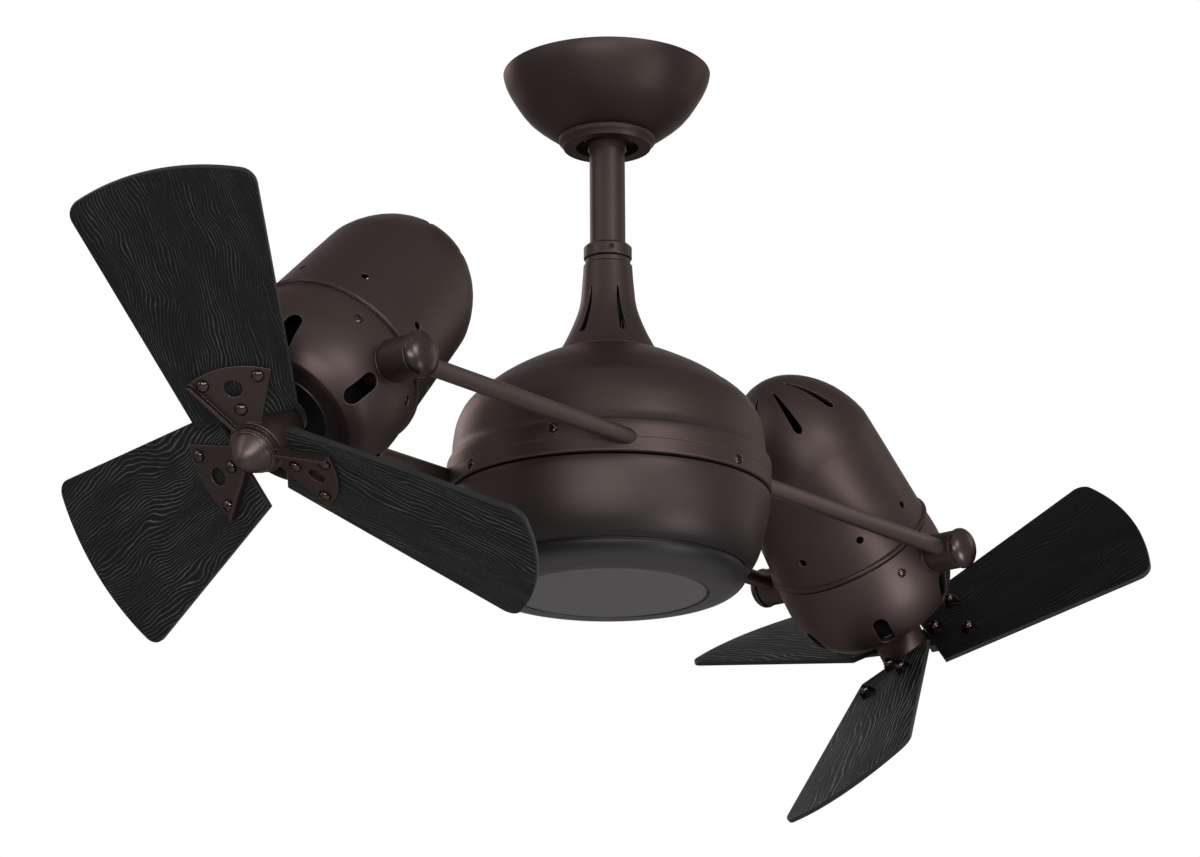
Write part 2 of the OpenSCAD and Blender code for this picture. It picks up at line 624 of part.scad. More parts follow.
module shell_screw_places() {
  seat_at = radius_at(nose_line(0), shell_screw_z) - screw_sink;
  for (a = shell_screws_at) outward(a, shell_screw_z, seat_at) children();
}
module rear_cover() {
  bead_r = 2.1;
  slot_from = 0.27 * seam_r;
  color(bronze) difference() {
    union() {
      turned(tail_line, head_wall);
      translate([0, 0, -seam_l - bead_r - 0.1]) rotate_extrude($fn = turn_fn) translate([seam_r, 0])
        circle(r = bead_r, $fn = 24);
    }
    for (k = [0:tail_slots - 1]) rotate(360 * k / tail_slots) translate([slot_from, 0, -tail_l - cut])
      linear_extrude(0.4 * tail_l) tapered2d(0.42 * seam_r, 0.8, 3.3);
    for (k = [0:vents - 1]) outward(360 * k / vents, vent_z, 0)
      cylinder(r = vent_r, h = 2 * head_r, $fn = 32);
  }
}
module front_shell() {
  lip_r = nose_line(0)[0][0] - lip_w;
  inner = nose_line(head_wall);
  slot_z = 0.66 * nose_l;
  slot_r = radius_at(nose_line(0), slot_z) - 1.5;
  slot_tilt = 62;
  slot_run = 16;
  slot_half = 6.2;
  color(bronze) difference() {
    union() {
      difference() {
        union() {
          rotate_extrude($fn = turn_fn) polygon(concat([[0, nose_l]], nose_line(0), [[0, -seam_l]]));
          along_y(-boss_y, boss_y, barrel_r - 2);
        }
        rotate_extrude($fn = turn_fn) polygon(concat([[0, nose_l + cut], [inner[0][0], nose_l + cut]],
          inner, [[seam_r - head_wall, -seam_l - cut], [0, -seam_l - cut]]));
      }
      for (s = sides) mirror([0, s > 0 ? 0 : 1, 0]) along_y(motor_r + 4, boss_y - 1, barrel_r - 2);
      rotate_extrude($fn = turn_fn) polygon([[mouth_r, face_z], [radius_at(nose_line(1), face_z), face_z],
        [nose_line(1)[0][0], nose_l], [lip_r, nose_l], [lip_r - edge, nose_l - edge], [lip_r - edge, wall_z],
        [mouth_r + mouth_bead, wall_z], [mouth_r + mouth_bead / 2, wall_z + mouth_bead / 2],
        [mouth_r, wall_z]]);
    }
    groove(seam_r, -seam_l, 1.3);
    along_y(-boss_y - cut, boss_y + cut, bolt_r + fit);
    for (k = [0:nose_slots - 1]) rotate(360 * (k + 0.5) / nose_slots) translate([slot_r, 0, slot_z])
      rotate([0, slot_tilt, 0]) translate([0, 0, -2 * head_wall]) linear_extrude(6 * head_wall)
        slot2d(slot_run, slot_half);
    shell_screw_places() screw_cut(6);
  }
}
module stator() {
  color([0.35, 0.35, 0.37]) difference() {
    translate([0, 0, motor_back]) cylinder(r = motor_r, h = face_z - motor_back);
    translate([0, 0, core_back]) cylinder(r = core_r + 0.4, h = face_z - bearing_h - 4 - core_back);
    translate([0, 0, face_z - bearing_h + 1]) cylinder(r = bearing_r + fit, h = bearing_h);
    translate([0, 0, core_back]) cylinder(r = shaft_r + 2, h = face_z - motor_back);
    translate([0, 0, motor_back + 2]) cylinder(r = shaft_r + run, h = face_z - motor_back);
  }
}
module motor_bearing() {
  color(steel) ring(bearing_r, shaft_r + run, face_z - bearing_h + 1, face_z - 0.5);
}
module shell_screws() {
  color(steel) shell_screw_places() screw(5);
}
module pivot_bolts() {
  color(steel) for (s = sides) mirror([0, s > 0 ? 0 : 1, 0]) {
    along_y(motor_r + 6, pocket_y + air, bolt_r);
    translate([0, pocket_y + air, 0]) rotate([-90, 0, 0]) cylinder(r = bolt_head_r, h = bolt_head_h, $fn = 6);
  }
}
module left_rear_cover() { at_head(-1) rear_cover(); }
module left_front_shell() { at_head(-1) front_shell(); }
module left_stator() { at_head(-1) stator(); }
module left_motor_bearing() { at_head(-1) motor_bearing(); }
module left_shell_screws() { at_head(-1) shell_screws(); }
module left_pivot_bolts() { at_head(-1) pivot_bolts(); }
module right_rear_cover() { at_head(1) rear_cover(); }
module right_front_shell() { at_head(1) front_shell(); }
module right_stator() { at_head(1) stator(); }
module right_motor_bearing() { at_head(1) motor_bearing(); }
module right_shell_screws() { at_head(1) shell_screws(); }
module right_pivot_bolts() { at_head(1) pivot_bolts(); }

// ---- rotors
hub_back = nose_l + 1;
hub_front = rotor_l + 4.5;
blade_screw_r = 4.4;
blade_screw_h = 3.2;
blade_screw_at = [[52.6, 19.8], [52.6, -19.8], [30.3, 0]];
blade_nut_r = 5.4;
blade_nut_h = 3.2;
blade_nut_dome = 4.2;
washer_h = 1.2;
window_at = [46.5, 0];
window_r = 6.6;
corner_r = 12;
arm_edge = [[18, 10], [55, 30]];

// Puts its children on blade k, with +X out along the blade and z = 0 on the front of its bracket
module on_blade(k) {
  rotate(120 * k) translate([0, 0, rotor_l]) rotate([pitch, 0, 0]) rotate([0, lean, 0]) children();
}
function mirrored(p) = concat(p, [for (i = [len(p) - 1:-1:0]) [p[i][0], -p[i][1]]]);
// The blade's outline: straight sides, a bowed tip and a round corner between them
tip_r = (tip_w ^ 2 / 4 + blade_bow ^ 2) / (2 * blade_bow);
tip_c = [blade_out + blade_bow - tip_r, 0];
root_at = [blade_in, root_w / 2];
side_dir = unit([blade_out, tip_w / 2] - root_at);
side_out = [-side_dir[1], side_dir[0]];
corner_from = root_at - corner_r * side_out - tip_c;
corner_half = corner_from * side_dir;
corner_go = -corner_half + sqrt(corner_half ^ 2 - corner_from * corner_from + (tip_r - corner_r) ^ 2);
corner_c = tip_c + corner_from + corner_go * side_dir;
corner_turn = atan2(corner_c[1] - tip_c[1], corner_c[0] - tip_c[0]);
blade_half = concat([root_at], arc(corner_c, corner_r, atan2(side_out[1], side_out[0]), corner_turn, 6),
  [for (k = [1:7]) tip_c + tip_r * [cos(corner_turn * (1 - k / 7)), sin(corner_turn * (1 - k / 7))]]);
// The bracket's outline: a sector with its root in the hub
arm_turn = asin(arm_edge[1][1] / bracket_r);
arm_half = concat([[0, arm_edge[0][1] - 2], arm_edge[0]], arc([0, 0], bracket_r, arm_turn, 0, 8));

module blade() {
  color(black) translate([0, 0, -arm_t - blade_t]) difference() {
    linear_extrude(blade_t) polygon(mirrored(blade_half));
    for (p = blade_screw_at) translate([p[0], p[1], -cut])
      cylinder(r = thread_r + fit, h = blade_t + 2 * cut, $fn = 24);
  }
}
module spider() {
  flange_t = 2;
  flange_h = 4.5;
  color(bronze) difference() {
    union() {
      rotate_extrude() polygon([[0, hub_back], [hub_r - 2.5, hub_back], [hub_r, hub_back + 6],
        [hub_r, rotor_l - 0.5], [hub_r - 0.5, rotor_l], [spin_r + 1.4, rotor_l],
        [spin_r + 1.4, hub_front - 0.5], [spin_r + 0.9, hub_front], [0, hub_front]]);
      for (k = [0:2]) on_blade(k) {
        translate([0, 0, -arm_t]) linear_extrude(arm_t) polygon(mirrored(arm_half));
        linear_extrude(flange_h) polygon([arm_edge[0], arm_half[2], arm_half[2] - [0, flange_t * 1.2],
          arm_edge[0] - [0, flange_t * 1.2]]);
      }
    }
    translate([0, 0, hub_back - cut]) cylinder(r = shaft_r + fit, h = hub_front - hub_back - 4);
    translate([0, 0, hub_front - 5]) cylinder(r = thread_r * 2 + fit, h = 6);
    for (k = [0:2]) on_blade(k) {
      for (p = blade_screw_at) translate([p[0], p[1], 0]) screw_cut(arm_t + cut, blade_screw_r);
      translate([window_at[0], window_at[1], -arm_t - cut]) cylinder(r = window_r, h = arm_t + 2 * cut);
    }
  }
}
module rotor_shaft() {
  color(steel) union() {
    translate([0, 0, motor_back + 2.5]) cylinder(r = shaft_r, h = hub_front - 5 - motor_back - 2.5 - fit);
    translate([0, 0, core_back + 3]) cylinder(r = core_r, h = face_z - bearing_h - 7 - core_back - 3);
  }
}
module blade_screws() {
  color(steel) for (k = [0:2]) on_blade(k) for (p = blade_screw_at)
    translate([p[0], p[1], 0]) dome_screw(arm_t + blade_t + 3.2, blade_screw_r, blade_screw_h);
}
module blade_nuts() {
  color(steel) for (k = [0:2]) on_blade(k) for (p = blade_screw_at)
    translate([p[0], p[1], -arm_t - blade_t]) rotate([180, 0, 0]) difference() {
      union() {
        cylinder(r = blade_nut_r + 0.8, h = washer_h, $fn = 32);
        cylinder(r = blade_nut_r, h = washer_h + blade_nut_h, $fn = 6);
        translate([0, 0, washer_h + blade_nut_h]) rotate_extrude($fn = 32) intersection() {
          circle(r = blade_nut_dome, $fn = 32);
          square(blade_nut_dome + cut);
        }
      }
      translate([0, 0, -cut]) cylinder(r = thread_r + fit, h = washer_h + blade_nut_h + cut, $fn = 24);
    }
}
module spinner_cap() {
  lip = 1.5;
  rim_r = spin_r + 0.6;
  color(bronze) translate([0, 0, hub_front]) union() {
    rotate_extrude() polygon(concat([[0, 0], [rim_r, 0], [rim_r, lip - 0.3], [spin_r, lip - 0.3]],
      lay(smooth(spin_shape), 0, spin_r, lip, spin_h)));
    translate([0, 0, -3]) cylinder(r = thread_r * 2, h = 3 + fit);
  }
}
module at_rotor(s) {
  at_head(s) rotate(180 + (s > 0 ? right_turn : left_turn)) children();
}
module left_shaft() { at_rotor(-1) rotor_shaft(); }
module left_spider() { at_rotor(-1) spider(); }
module left_blade_a() { at_rotor(-1) on_blade(0) blade(); }
module left_blade_b() { at_rotor(-1) on_blade(1) blade(); }
module left_blade_c() { at_rotor(-1) on_blade(2) blade(); }
module left_blade_screws() { at_rotor(-1) blade_screws(); }
module left_blade_nuts() { at_rotor(-1) blade_nuts(); }
module left_spinner() { at_rotor(-1) spinner_cap(); }
module right_shaft() { at_rotor(1) rotor_shaft(); }
module right_spider() { at_rotor(1) spider(); }
module right_blade_a() { at_rotor(1) on_blade(0) blade(); }
module right_blade_b() { at_rotor(1) on_blade(1) blade(); }
module right_blade_c() { at_rotor(1) on_blade(2) blade(); }
module right_blade_screws() { at_rotor(1) blade_screws(); }
module right_blade_nuts() { at_rotor(1) blade_nuts(); }
module right_spinner() { at_rotor(1) spinner_cap(); }

ceiling_bracket();
canopy();
canopy_screws();
cover_ring();
hanger_ball();
downrod();
collar();
collar_screw();
rod_pins();
spindle();
slip_ring();
bowl_plate();
bowl_screws();
spindle_nut();
bowl();
bottom_disc();
neck_cover();
dome();
band_ring();
band_screws();
carrier();
spindle_bearings();
near_tube();
far_tube();
left_near_barrel();
left_far_barrel();
right_near_barrel();
right_far_barrel();
left_near_cap();
left_far_cap();
right_near_cap();
right_far_cap();
left_rear_cover();
left_front_shell();
left_stator();
left_motor_bearing();
left_shell_screws();
left_pivot_bolts();
left_shaft();
left_spider();
left_blade_a();
left_blade_b();
left_blade_c();
left_blade_screws();
left_blade_nuts();
left_spinner();
right_rear_cover();
right_front_shell();
right_stator();
right_motor_bearing();
right_shell_screws();
right_pivot_bolts();
right_shaft();
right_spider();
right_blade_a();
right_blade_b();
right_blade_c();
right_blade_screws();
right_blade_nuts();
right_spinner();
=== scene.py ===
import bpy
import bmesh
from math import atan2, cos, pi, radians, sin, sqrt
from mathutils import Matrix, Vector


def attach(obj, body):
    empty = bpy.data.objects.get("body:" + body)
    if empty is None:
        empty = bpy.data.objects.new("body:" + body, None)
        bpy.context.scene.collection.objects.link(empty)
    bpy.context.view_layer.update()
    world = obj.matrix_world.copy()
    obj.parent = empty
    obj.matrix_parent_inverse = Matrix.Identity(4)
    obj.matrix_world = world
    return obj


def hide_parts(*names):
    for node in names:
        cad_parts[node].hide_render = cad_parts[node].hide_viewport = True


# A twin head ceiling fan in dark bronze with charcoal wooden blades.
# It is laid out in the order in which the fan is hung: ceiling mount, hanger, turntable, heads, rotors.
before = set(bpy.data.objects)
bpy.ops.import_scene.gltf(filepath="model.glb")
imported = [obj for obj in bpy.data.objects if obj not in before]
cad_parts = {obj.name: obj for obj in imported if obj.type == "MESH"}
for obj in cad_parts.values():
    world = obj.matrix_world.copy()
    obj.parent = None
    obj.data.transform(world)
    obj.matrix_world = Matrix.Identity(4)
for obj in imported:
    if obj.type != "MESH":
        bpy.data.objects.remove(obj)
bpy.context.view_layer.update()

# ---- Studio
# A pale floor far below the fan and a white surround, as for a catalogue picture.
# Four soft boxes at the sides draw the highlights down the turned covers, and one fills in from above.
# A long low one lights the undersides, and a gridded one catches the right rotor from below.
camera = bpy.data.objects.new("camera", bpy.data.cameras.new("camera"))
camera.data.sensor_fit = "HORIZONTAL"
camera.data.sensor_width = 36
camera.data.lens = 126.65
camera.data.clip_end = 30
camera.location = (-2.33910, -1.86947, -1.19020)
camera.rotation_euler = [radians(a) for a in (106.8988, 0.3004, -51.1505)]
bpy.context.collection.objects.link(camera)
bpy.context.scene.camera = camera
bpy.context.scene.view_settings.view_transform = "Standard"


def add_node(tree, kind, links=(), **values):
    """A shader node. Values that name an input set it, and the rest set the node itself."""
    node = tree.nodes.new("ShaderNode" + kind)
    for key, value in values.items():
        if hasattr(node, key):
            setattr(node, key, value)
        else:
            node.inputs[key.replace("_", " ")].default_value = value
    for name, source in dict(links).items():
        tree.links.new(source, node.inputs[name])
    return node


ROOM_LIGHT, BACKDROP = 0.45, 1.0  # strength of the white surround as a lamp, and as it is seen
surround = bpy.data.worlds.new("surround")
surround.use_nodes = True
room = surround.node_tree
room.nodes.clear()
rays = add_node(room, "LightPath")
seen = add_node(room, "Math", {0: rays.outputs["Is Camera Ray"], 1: rays.outputs["Is Glossy Ray"]},
                operation="MAXIMUM")
seen = add_node(room, "Math", {0: seen.outputs[0], 1: rays.outputs["Is Transmission Ray"]},
                operation="MAXIMUM")
level = add_node(room, "MapRange", {"Value": seen.outputs[0]}, To_Min=ROOM_LIGHT, To_Max=BACKDROP)
glow = add_node(room, "Background", {"Strength": level.outputs[0]}, Color=(1, 1, 1, 1))
add_node(room, "OutputWorld", {"Surface": glow.outputs[0]})
bpy.context.scene.world = surround


def soft_box(name, place, size, watts, target=(0, 0, -0.3), spread=180):
    """An area lamp that faces its target. A small spread is a honeycomb grid in front of it."""
    lamp = bpy.data.lights.new(name, "AREA")
    lamp.shape = "RECTANGLE"
    lamp.size, lamp.size_y = size
    lamp.energy = watts
    lamp.spread = radians(spread)
    holder = bpy.data.objects.new(name, lamp)
    holder.location = place
    holder.rotation_euler = (Vector(target) - Vector(place)).to_track_quat("-Z", "Y").to_euler()
    holder.visible_camera = False
    bpy.context.collection.objects.link(holder)


soft_box("left_rim_box", (0.6, 3.0, 1.0), (0.7, 1.2), 42)
soft_box("left_box", (-2.5, 0.9, 0.5), (0.6, 2.0), 20)
soft_box("right_box", (-0.85, -2.6, 0.3), (1.1, 0.8), 46)
soft_box("right_rim_box", (3.0, -1.2, 0.4), (0.6, 2.2), 22)
soft_box("front_box", (-2.1, -1.6, 2.7), (1.2, 1.2), 7)
soft_box("low_box", (-2.3, -1.45, -0.7), (2.2, 0.3), 66, target=(0, 0, -0.4))
soft_box("under_box", (0.49, -1.21, -1.02), (1.2, 0.6), 2.2, target=(0.4, 0, -0.37), spread=34)

FLOOR_HALF, FLOOR_Z = 9, -2.4
floor_mesh = bpy.data.meshes.new("floor")
corners = [(x * FLOOR_HALF, y * FLOOR_HALF, FLOOR_Z) for x, y in ((-1, -1), (1, -1), (1, 1), (-1, 1))]
floor_mesh.from_pydata(corners, [], [(0, 1, 2, 3)])
floor = bpy.data.objects.new("floor", floor_mesh)
bpy.context.collection.objects.link(floor)

# The floor is clear from its underside, so that a low camera sees the fan through it.
floor_paint = bpy.data.materials.new("floor_paint")
floor_paint.use_nodes = True
floor_tree = floor_paint.node_tree
pale = floor_tree.nodes["Principled BSDF"]
pale.inputs["Base Color"].default_value = (0.86, 0.86, 0.86, 1)
pale.inputs["Roughness"].default_value = 0.8
side_seen = add_node(floor_tree, "NewGeometry")
clear = add_node(floor_tree, "BsdfTransparent")
one_way = add_node(floor_tree, "MixShader",
                   {0: side_seen.outputs["Backfacing"], 1: pale.outputs[0], 2: clear.outputs[0]})
floor_tree.links.new(one_way.outputs[0], floor_tree.nodes["Material Output"].inputs["Surface"])
floor_mesh.materials.append(floor_paint)

# ---- Ceiling bracket
# A folded steel plate that is screwed to the ceiling box, with two cheeks and the seat of the hanger ball.
# It and the two screws that hold the canopy to it are zinc plated.
CLOUDS = dict(Scale=14, Detail=5, Roughness=0.6)  # a coat's mottling, in clouds about 70 mm across
SPECKS = dict(Detail=2, Roughness=0.5)
CLOUD_LOW, CLOUD_HIGH = 0.3, 0.7    # what the clouds' values lie between
MATTER, GLOSSIER = 0.04, 0.03       # how far a cloud's roughness goes to each side of the coat's own
PEEL_DEPTH = 0.00006                # height of the orange peel
EDGE_UNLIT, EDGE_FULL_LIT = 0.99, 0.86  # cosines of the turn where the painted edge highlight starts and where it is full
EDGE_HIGHLIGHT_LIFT = 4.5                        # how much lighter the painted edge highlight is


def coat(name, dark, light, gloss=0.38, peel=0.25, grain=1100, shine=0.2, flake=0.0,
         tint=(1, 0.86, 0.83), edge_highlight=0.0, painted_shading=(), soft=0.0006):
    """A coat or plating: two close tones in clouds, a fine orange peel, and a highlight painted lighter along
    its edges.

    flake is its share of metal, and soft the width in metres by which its edges look rounded. Each entry of
    painted_shading is a painted shade or painted light, with the height or the radius where it is full and
    the one where it is gone.
    """
    paint = bpy.data.materials.new(name)
    paint.use_nodes = True
    tree = paint.node_tree
    body = tree.nodes["Principled BSDF"]
    place = add_node(tree, "TexCoord")
    clouds = add_node(tree, "TexNoise", {"Vector": place.outputs["Object"]}, **CLOUDS)
    tone = add_node(tree, "MixRGB", {"Fac": clouds.outputs["Fac"]}, Color1=(*dark, 1), Color2=(*light, 1))
    # Painted shade and painted light are mixed into the tone here, by height or by radius.
    for shade, measure, full, none in painted_shading:
        if measure == "height":
            split = add_node(tree, "SeparateXYZ", {"Vector": place.outputs["Object"]})
            value = split.outputs["Z"]
        else:
            flat = add_node(tree, "Mapping", {"Vector": place.outputs["Object"]}, Scale=(1, 1, 0))
            value = add_node(tree, "VectorMath", {0: flat.outputs[0]}, operation="LENGTH").outputs["Value"]
        shading_share = add_node(tree, "MapRange", {"Value": value}, From_Min=full, From_Max=none)
        tone = add_node(tree, "MixRGB", {"Fac": shading_share.outputs[0], "Color2": tone.outputs[0]},
                        Color1=(*shade, 1))
    specks = add_node(tree, "TexNoise", {"Vector": place.outputs["Object"]}, Scale=grain, **SPECKS)
    polish = add_node(tree, "MapRange", {"Value": clouds.outputs["Fac"]}, From_Min=CLOUD_LOW,
                      From_Max=CLOUD_HIGH, To_Min=gloss - GLOSSIER, To_Max=gloss + MATTER)
    rounded = add_node(tree, "Bevel", Radius=soft, samples=4)
    peeled = add_node(tree, "Bump", {"Height": specks.outputs["Fac"], "Normal": rounded.outputs[0]},
                      Strength=peel, Distance=PEEL_DEPTH)
    facing = add_node(tree, "NewGeometry")
    turned = add_node(tree, "VectorMath", {0: rounded.outputs[0], 1: facing.outputs["Normal"]},
                      operation="DOT_PRODUCT")
    # A highlight is painted lighter along sharp edges, where the rounded normal turns away from the face's
    # own.
    edge = add_node(tree, "MapRange", {"Value": turned.outputs["Value"]},
                    From_Min=EDGE_UNLIT, From_Max=EDGE_FULL_LIT, To_Max=edge_highlight)
    edge_lit = add_node(tree, "MixRGB", {"Fac": edge.outputs[0], "Color1": tone.outputs[0]},
                      Color2=(*(EDGE_HIGHLIGHT_LIFT * c for c in light), 1))
    tree.links.new(edge_lit.outputs[0], body.inputs["Base Color"])
    tree.links.new(polish.outputs[0], body.inputs["Roughness"])
    tree.links.new(peeled.outputs[0], body.inputs["Normal"])
    body.inputs["Metallic"].default_value = flake
    body.inputs["Specular IOR Level"].default_value = shine
    body.inputs["Specular Tint"].default_value = (*tint, 1)
    return paint


WELD = 0.000002             # points closer than this are one
CREASE = radians(24)        # a sharper turn than this stays an edge


def even_out():
    """Modifier nodes that join a cover's strips and shade it smooth, except where it turns sharply."""
    group = bpy.data.node_groups.new("even_out", "GeometryNodeTree")
    group.interface.new_socket("Geometry", in_out="INPUT", socket_type="NodeSocketGeometry")
    group.interface.new_socket("Geometry", in_out="OUTPUT", socket_type="NodeSocketGeometry")
    start, end = group.nodes.new("NodeGroupInput"), group.nodes.new("NodeGroupOutput")
    joined = group.nodes.new("GeometryNodeMergeByDistance")
    joined.inputs["Distance"].default_value = WELD
    smooth = group.nodes.new("GeometryNodeSetShadeSmooth")
    sharp = group.nodes.new("GeometryNodeSetShadeSmooth")
    sharp.domain = "EDGE"
    sharp.inputs["Shade Smooth"].default_value = False
    bend = group.nodes.new("GeometryNodeInputMeshEdgeAngle")
    steep = group.nodes.new("FunctionNodeCompare")
    steep.operation = "GREATER_THAN"
    steep.inputs["B"].default_value = CREASE
    chain = (start, joined, smooth, sharp, end)
    for a, b in zip(chain, chain[1:]):
        group.links.new(a.outputs[0], b.inputs[0])
    group.links.new(bend.outputs["Unsigned Angle"], steep.inputs["A"])
    group.links.new(steep.outputs[0], sharp.inputs["Selection"])
    return group


smoothing = even_out()


def finish(names, paint):
    """Puts one finish on the named pieces of the frame."""
    for name in names.split():
        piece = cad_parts[name]
        piece.data.materials.clear()
        piece.data.materials.append(paint)
        piece.modifiers.new("even_out", "NODES").node_group = smoothing


BARE_METAL = dict(flake=1, tint=(1, 1, 1))
zinc = coat("zinc_plate", (0.42, 0.43, 0.44), (0.52, 0.53, 0.54), gloss=0.34, peel=0.1, **BARE_METAL)
finish("ceiling_bracket canopy_screws", zinc)

# ---- Canopy
# A spun steel bell that covers the bracket, and a turned ring under it that hides the screws.
# Both are powder coated in a satin dark bronze with metal flake. Their copy of it is painted a shade darker
# than the dome's, as painted shade.
SATIN = dict(gloss=0.47, flake=0.85, shine=0.3, tint=(0.5, 0.46, 0.45), edge_highlight=0.7)
shaded_canopy_bronze = coat("shaded_canopy_bronze", (0.0226, 0.0162, 0.0152), (0.027, 0.0195, 0.0183), **SATIN)
finish("canopy cover_ring", shaded_canopy_bronze)

# ---- Downrod
# A short coated steel pipe that hangs in the bracket by a moulded ball, pinned through both.
# A collar is clamped round its foot with a set screw, whose head is polished and plated dark.
bronze = coat("satin_bronze", (0.0272, 0.0195, 0.0183), (0.0325, 0.0235, 0.0221), **SATIN)
moulding_and_shade = coat("moulding_and_painted_shade", (0.012, 0.006, 0.005), (0.017, 0.009, 0.008),
                gloss=0.34, peel=0.1, shine=0.25)
screw_bronze = coat("plated_screw", (0.035, 0.0255, 0.0235), (0.046, 0.0335, 0.0312),
                    gloss=0.06, peel=0.0, shine=0.3, flake=0.95, tint=(0.3, 0.28, 0.27), soft=0.00012)
finish("hanger_ball", moulding_and_shade)
finish("rod_pins", zinc)
finish("downrod collar", bronze)
finish("collar_screw", screw_bronze)

# ---- Spindle
# A hollow spindle, pinned to the downrod, stays still inside the housing.
# It carries the brass slip rings that feed the heads, and at its foot a plate for the lower bowl and a nut.
brass = coat("turned_brass", (0.5, 0.34, 0.12), (0.62, 0.44, 0.18), gloss=0.25, peel=0.05, **BARE_METAL)
# The spindle takes the dark moulding colour as painted shade, so that it reads dark through the neck's slots.
finish("spindle", moulding_and_shade)
finish("slip_ring", brass)
finish("bowl_plate bowl_screws spindle_nut", zinc)

# ---- Lower bowl
# A spun steel bowl with a rolled lip that hangs still under the turning band, and a plate in its bottom.
# Its bronze coat, a darker copy of the dome's, carries painted shade that greys it towards the lip and
# painted light that lifts it to grey near the plate. The plate is grey, with a thin dark ring painted round
# its edge as the shade of its gap.
# Painted shade darkens the bowl towards its lip, and painted light lifts its underside to grey near the
# plate.
LIP_PAINTED_SHADE = ((0.0125, 0.0122, 0.0122), "height", -0.396, -0.36)
UNDER_PAINTED_LIGHT = ((0.05, 0.0465, 0.0475), "height", -0.4065, -0.398)
# A dark ring painted round the plate's edge stands in for the shade in the gap there.
PLATE_GAP_SHADE = ((0.008, 0.008, 0.008), "radius", 0.0714, 0.07)
bowl_bronze = coat("bowl_bronze", (0.0225, 0.0172, 0.0164), (0.0265, 0.0203, 0.0194),
                   gloss=0.46, flake=0.85, shine=0.3, tint=(0.5, 0.48, 0.47), edge_highlight=0.5,
                   painted_shading=(LIP_PAINTED_SHADE, UNDER_PAINTED_LIGHT))
disc_grey = coat("disc_grey", (0.066, 0.0607, 0.0618), (0.0755, 0.0695, 0.0708),
                 gloss=0.5, flake=0.6, tint=(0.5, 0.5, 0.5), painted_shading=(PLATE_GAP_SHADE,))
finish("bowl", bowl_bronze)
finish("bottom_disc", disc_grey)

# ---- Neck, dome and band
# Three spun steel covers that turn together round the spindle, coated in the satin bronze.
# Screws through the band and the dome's foot hold them to the carrier inside.
finish("neck_cover dome band_ring", bronze)
finish("band_screws", screw_bronze)

# ---- Carrier
# A casting inside the dome that clamps both tubes and takes the covers' screws.
# It turns round the spindle on two ball bearings.
cast = coat("cast_carrier", (0.4, 0.4, 0.41), (0.5, 0.5, 0.51), gloss=0.5, peel=0.5, **BARE_METAL)
finish("carrier", cast)
finish("spindle_bearings", zinc)

# ---- Tubes and pivots
# Two level steel tubes, clamped in the carrier, hold the heads between their ends.
# Each end has a turned barrel for a pivot bolt, and a smooth domed cap over the bolt's head.
SATIN_TUBE = dict(SATIN, gloss=0.42, edge_highlight=0.0)
POLISHED = dict(peel=0.06, shine=0.3, flake=0.9, tint=(0.5, 0.47, 0.46))
# The tubes' copy of the bronze is painted lighter than the covers', as painted light.
lit_tube_bronze = coat("lit_tube_bronze", (0.0475, 0.0347, 0.0328), (0.0565, 0.0413, 0.039), **SATIN_TUBE)
cap_bronze = coat("cap_bronze", (0.027, 0.0205, 0.0194), (0.034, 0.026, 0.0247),
                  gloss=0.3, edge_highlight=0.7, **POLISHED)
finish("near_tube far_tube", lit_tube_bronze)
finish("left_near_barrel left_far_barrel right_near_barrel right_far_barrel", bronze)
finish("left_near_cap left_far_cap right_near_cap right_far_cap", cap_bronze)

# ---- Heads
# Each head is a pressed rear cover and a front shell, screwed together at a rolled bead.
# It tilts between two barrels on bolts that screw into bosses in the front shell.
# The front shells' copy of the bronze is painted lighter than the rear covers', as painted light.
shell_bronze = coat("shell_bronze", (0.0315, 0.0226, 0.0212), (0.0377, 0.0273, 0.0256), **SATIN)
for side in ("left", "right"):
    finish(f"{side}_rear_cover", bronze)
    finish(f"{side}_front_shell", shell_bronze)
    finish(f"{side}_shell_screws", screw_bronze)
    finish(f"{side}_pivot_bolts", zinc)

# ---- Motors
# A wound motor body fills each head, and shows only as black behind the mouth and the slots.
# A ball bearing in its front holds the plated shaft that the rotor sits on.
motor_black = coat("motor_black", (0.002, 0.002, 0.0022), (0.004, 0.004, 0.0042),
                   gloss=0.5, peel=0.3, shine=0.06)
for side in ("left", "right"):
    finish(f"{side}_stator", motor_black)
    finish(f"{side}_motor_bearing {side}_shaft", zinc)

# ---- Blade brackets
# A turned hub on the motor shaft carries three folded steel brackets, coated like the covers.
# A pointed round spinner closes it. Three domed screws with nuts on washers clamp each blade.
spinner_bronze = coat("spinner_bronze", (0.037, 0.0288, 0.0273), (0.046, 0.0358, 0.034),
                      gloss=0.38, edge_highlight=0.4, **POLISHED)
for side in ("left", "right"):
    finish(f"{side}_spider", bronze)
    finish(f"{side}_spinner", spinner_bronze)
    finish(f"{side}_blade_screws {side}_blade_nuts", screw_bronze)

